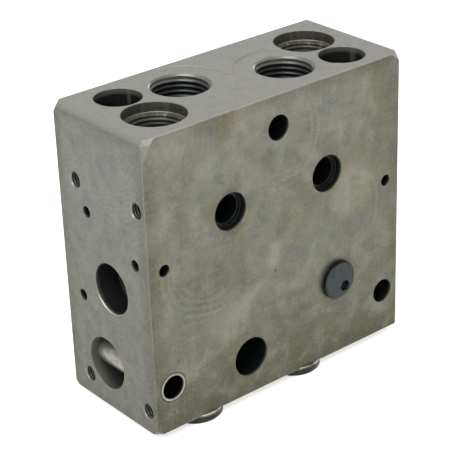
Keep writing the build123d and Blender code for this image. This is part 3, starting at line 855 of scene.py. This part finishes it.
# ---------- threads
@dataclass
class Thread:
    """A helical rib inside a tapped hole, made by turning a small tooth up the hole.

    The tooth is a vee with a narrow flat on its crest, and its root is sunk into the wall. The
    countersink at the mouth is wider than the wall by the lead. The rib fades in on it, and
    starts at the least depth.
    """

    name: str
    mouth: Vector
    outward: Vector
    material: bpy.types.Material
    wall_radius_mm: float
    crest_radius_mm: float
    pitch_mm: float
    start_mm: float
    end_mm: float
    lead_mm: float = 0.0
    least_mm: float = 0.0
    steps_a_turn: int = 48
    sunk_mm: float = 0.06
    proud_mm: float = 0.03
    root_share: float = 0.44
    crest_share: float = 0.07

    def build(self) -> bpy.types.Object:
        """Spin the tooth into a helix and set it in its hole.

        Returns:
            The finished rib.
        """
        turns = (self.end_mm - self.start_mm) / self.pitch_mm
        steps = int(round(turns * self.steps_a_turn))
        side = self.outward.orthogonal().normalized()
        bm = bmesh.new()
        root = self.wall_radius_mm + self.sunk_mm
        tooth = (
            (root, -self.root_share * self.pitch_mm),
            (self.crest_radius_mm, -self.crest_share * self.pitch_mm),
            (self.crest_radius_mm, self.crest_share * self.pitch_mm),
            (root, self.root_share * self.pitch_mm),
        )
        corners = [
            bm.verts.new(
                self.mouth + side * (radius * MM) - self.outward * ((self.start_mm + along) * MM)
            )
            for radius, along in tooth
        ]
        edges = [bm.edges.new(pair) for pair in zip(corners, corners[1:] + corners[:1])]
        step_down = -self.outward * (self.pitch_mm / self.steps_a_turn * MM)
        bmesh.ops.spin(
            bm,
            geom=corners + edges,
            cent=self.mouth,
            axis=self.outward,
            dvec=step_down,
            angle=-math.tau * steps / self.steps_a_turn,
            steps=steps,
            use_merge=False,
        )
        bmesh.ops.holes_fill(bm, edges=bm.edges[:], sides=8)
        bmesh.ops.recalc_face_normals(bm, faces=bm.faces[:])
        self.trim(bm)
        mesh = bpy.data.meshes.new(self.name)
        bm.to_mesh(mesh)
        bm.free()
        piece = bpy.data.objects.new(self.name, mesh)
        bpy.context.scene.collection.objects.link(piece)
        mesh.materials.append(self.material)
        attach(piece, "root")
        return piece

    def trim(self, bm: bmesh.types.BMesh) -> None:
        """Cut the rib back to the countersink, so that it fades in at the mouth.

        Args:
            bm: The rib's mesh.
        """
        for vertex in bm.verts:
            depth = (self.mouth - vertex.co).dot(self.outward)
            if depth < self.least_mm * MM:
                vertex.co += self.outward * (depth - self.least_mm * MM)
                depth = self.least_mm * MM
            spoke = vertex.co - (self.mouth - self.outward * depth)
            least = (self.wall_radius_mm + self.lead_mm + self.proud_mm) * MM - depth
            if spoke.length < least:
                vertex.co += spoke.normalized() * (least - spoke.length)
        bmesh.ops.remove_doubles(bm, verts=bm.verts[:], dist=WELD_MM * MM)
        bmesh.ops.dissolve_degenerate(bm, edges=bm.edges[:], dist=WELD_MM * MM)


# ---------- the object
@dataclass
class Manifold:
    """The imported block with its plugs, washers, seal and sleeve, and the threads in its holes."""

    work_crest_mm: float = 9.35
    work_pitch_mm: float = 1.814
    screw_crest_mm: float = 2.46
    screw_pitch_mm: float = 1.0
    screw_depth_mm: float = 9.0

    def dress(self) -> bpy.types.Material:
        """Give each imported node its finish.

        Returns:
            The block's material, for the threads.
        """
        steel = BlockSteel().make()
        # A dark satin disc, with painted shade at its rim and in its socket
        blackened = TurnedMetal(
            "blackened plug steel",
            "front_plug",
            "#333739",
            "#292C2E",
            0.8,
            0.42,
            bore_mm=2.3,
            rim_mm=6.6,
        ).make()
        # Nearly black, and dull
        oiled = TurnedMetal(
            "oiled plug steel", "bottom_plug_left", "#2B2C2A", "#191A18", 0.8, 0.45
        ).make()
        # A pale ring round a hole painted dark as shade
        drawn = TurnedMetal(
            "drawn steel tube", "bolt_sleeve", "#8C8A83", "#5F5D52", 0.85, 0.36, bore_mm=4.3
        ).make()
        # A pale sliver with patches of dirt, darker on its lower half
        washer = TurnedMetal(
            "turned aluminium",
            "bottom_washer_left",
            "#B0AFA6",
            "#3A3A34",
            0.8,
            0.4,
            dirt_mm=4.0,
            dirt_share=0.9,
            darker_skirt=True,
        ).make()
        # A thin matt black line under the plug's head
        rubber = TurnedMetal(
            "nitrile rubber", "front_plug_seal", "#1B1B1B", "#2A2925", 0.0, 0.6
        ).make()
        finishes = {
            "block": steel,
            "front_plug": blackened,
            "front_plug_seal": rubber,
            "bottom_plug_left": oiled,
            "bottom_plug_right": oiled,
            "bottom_washer_left": washer,
            "bottom_washer_right": washer,
            "bolt_sleeve": drawn,
        }
        for name, material in finishes.items():
            node = frame["nodes"][name]
            for slot_of_node in node.material_slots:
                slot_of_node.material = material
            log.info("%s: %s", name, material.name)
        return steel

    def cut_threads(self, steel: bpy.types.Material) -> None:
        """Set the helical ribs in the work ports and in the four flange holes.

        Args:
            steel: The block's material.
        """
        for side in ("left", "right"):
            mount = find_mount(f"work_port_{side}")
            outward = Vector(mount["axis"])
            length = mount["dims"]["length_mm"]
            mouth = Vector(mount["pos_m"]) + outward * (length / 2 * MM)
            Thread(
                f"work_port_thread_{side}",
                mouth,
                outward,
                steel,
                wall_radius_mm=mount["dims"]["r_mm"],
                crest_radius_mm=self.work_crest_mm,
                pitch_mm=self.work_pitch_mm,
                start_mm=-self.work_pitch_mm,
                end_mm=length - self.work_pitch_mm,
                least_mm=-0.5,
            ).build()
            log.info("work_port_thread_%s", side)
        flange = find_mount("flange_screws")
        outward = Vector(flange["axis"])
        face_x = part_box("block")[0][0]
        middle = Vector((face_x, flange["pos_m"][1], flange["pos_m"][2]))
        dims = flange["dims"]
        for row, up in (("low", -0.5), ("high", 0.5)):
            for place, along in (("front", -0.5), ("back", 0.5)):
                mouth = middle + Vector(
                    (0, along * dims["spacing_x_mm"] * MM, up * dims["spacing_y_mm"] * MM)
                )
                Thread(
                    f"flange_thread_{row}_{place}",
                    mouth,
                    outward,
                    steel,
                    wall_radius_mm=dims["hole_r_mm"],
                    crest_radius_mm=self.screw_crest_mm,
                    pitch_mm=self.screw_pitch_mm,
                    start_mm=-0.6,
                    end_mm=self.screw_depth_mm,
                    lead_mm=0.55,
                    least_mm=0.1,
                    steps_a_turn=24,
                ).build()
        log.info("flange threads")


# ---------- floor, light and camera
@dataclass(frozen=True)
class Studio:
    """A pale floor, an even sky and two soft lamps."""

    floor_half: float = 2.0
    floor_colour: str = "#F4F4F2"
    floor_glow: float = 0.55
    sky_strength: float = 0.62
    aim: tuple[float, float, float] = (0.0, 0.0, 0.05)

    def lay_floor(self) -> None:
        """Lay a pale floor under the object, white to the camera but for its shadow."""
        bm = bmesh.new()
        bmesh.ops.create_grid(bm, x_segments=1, y_segments=1, size=self.floor_half)
        mesh = bpy.data.meshes.new("floor")
        bm.to_mesh(mesh)
        bm.free()
        floor = bpy.data.objects.new("floor", mesh)
        bpy.context.scene.collection.objects.link(floor)
        # A seamless white sheet: the eye sees plain white with a soft shadow in it
        material = bpy.data.materials.new("white paper sweep")
        material.use_nodes = True
        tree = material.node_tree
        shader = tree.nodes["Principled BSDF"]
        shader.inputs["Base Color"].default_value = colour(self.floor_colour)
        shader.inputs["Roughness"].default_value = 0.9
        shader.inputs["Emission Color"].default_value = (1.0, 1.0, 1.0, 1.0)
        glow = add(tree, Step.TIMES, self.looked_at(tree), self.floor_glow)
        tree.links.new(glow, shader.inputs["Emission Strength"])
        mesh.materials.append(material)

    def looked_at(self, tree: bpy.types.NodeTree) -> Any:
        """Tell the rays of the eye, direct or by a mirror or a window, from those of the light.

        Args:
            tree: The node tree.

        Returns:
            A socket that is one for the eye's own rays.
        """
        rays = add(tree, Step.RAYS)
        bent = add(tree, Step.MOST, rays["Is Glossy Ray"], rays["Is Transmission Ray"])
        return add(tree, Step.MOST, rays["Is Camera Ray"], bent)

    def light(self) -> None:
        """Set the sky and the soft lamps."""
        world = bpy.data.worlds.new("studio")
        bpy.context.scene.world = world
        world.use_nodes = True
        tree = world.node_tree
        tree.nodes.clear()
        strength = add(tree, Step.RAMP, self.looked_at(tree), 0.0, 1.0, self.sky_strength, 1.0)
        add(tree, Step.WORLD, add(tree, Step.SKY, (1.0, 1.0, 1.0, 1.0), strength))
        self.lamp("key lamp", Vector((-0.75, -0.35, 1.1)), size=0.9, power=16.0)
        self.lamp("fill lamp", Vector((-0.3, -1.3, 0.5)), size=1.0, power=5.0)

    def lamp(self, name: str, place: Vector, size: float, power: float) -> None:
        """Hang a square lamp that looks at the object.

        Args:
            name: The lamp's name.
            place: Where it hangs, in metres.
            size: The length of its side, in metres.
            power: Its power, in watts.
        """
        data = bpy.data.lights.new(name, "AREA")
        data.shape = "SQUARE"
        data.size = size
        data.energy = power
        lamp = bpy.data.objects.new(name, data)
        lamp.matrix_world = Matrix.Translation(place) @ (
            (Vector(self.aim) - place).to_track_quat("-Z", "Y").to_matrix().to_4x4()
        )
        bpy.context.scene.collection.objects.link(lamp)


@dataclass(frozen=True)
class Viewpoint:
    """The camera, placed from the block's front left bottom corner."""

    offset_mm: tuple[float, float, float] = (-260.6, -361.4, 297.7)
    azimuth_deg: float = -39.04
    elevation_deg: float = 26.48
    roll_deg: float = 2.06
    lens_mm: float = 128.3
    sensor_mm: float = 36.0

    def place(self) -> None:
        """Create the camera and make it the scene's own."""
        azimuth = math.radians(self.azimuth_deg)
        elevation = math.radians(self.elevation_deg)
        roll = math.radians(self.roll_deg)
        forward = -Vector(
            (
                math.sin(azimuth) * math.cos(elevation),
                -math.cos(azimuth) * math.cos(elevation),
                math.sin(elevation),
            )
        )
        level = Vector((math.cos(azimuth), math.sin(azimuth), 0.0))
        down = forward.cross(level)
        right = level * math.cos(roll) + down * math.sin(roll)
        up = -(down * math.cos(roll) - level * math.sin(roll))
        place = Vector(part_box("block")[0]) + Vector(self.offset_mm) * MM
        data = bpy.data.cameras.new("camera")
        data.lens = self.lens_mm
        data.sensor_width = self.sensor_mm
        camera = bpy.data.objects.new("camera", data)
        turn = Matrix((right, up, -forward)).transposed().to_4x4()
        camera.matrix_world = Matrix.Translation(place) @ turn
        bpy.context.scene.collection.objects.link(camera)
        bpy.context.scene.camera = camera


def main() -> None:
    """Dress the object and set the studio."""
    manifold = Manifold()
    steel = manifold.dress()
    manifold.cut_threads(steel)
    studio = Studio()
    studio.lay_floor()
    studio.light()
    Viewpoint().place()
    bpy.context.scene.view_settings.view_transform = "Standard"


if __name__ == "__main__":
    main()
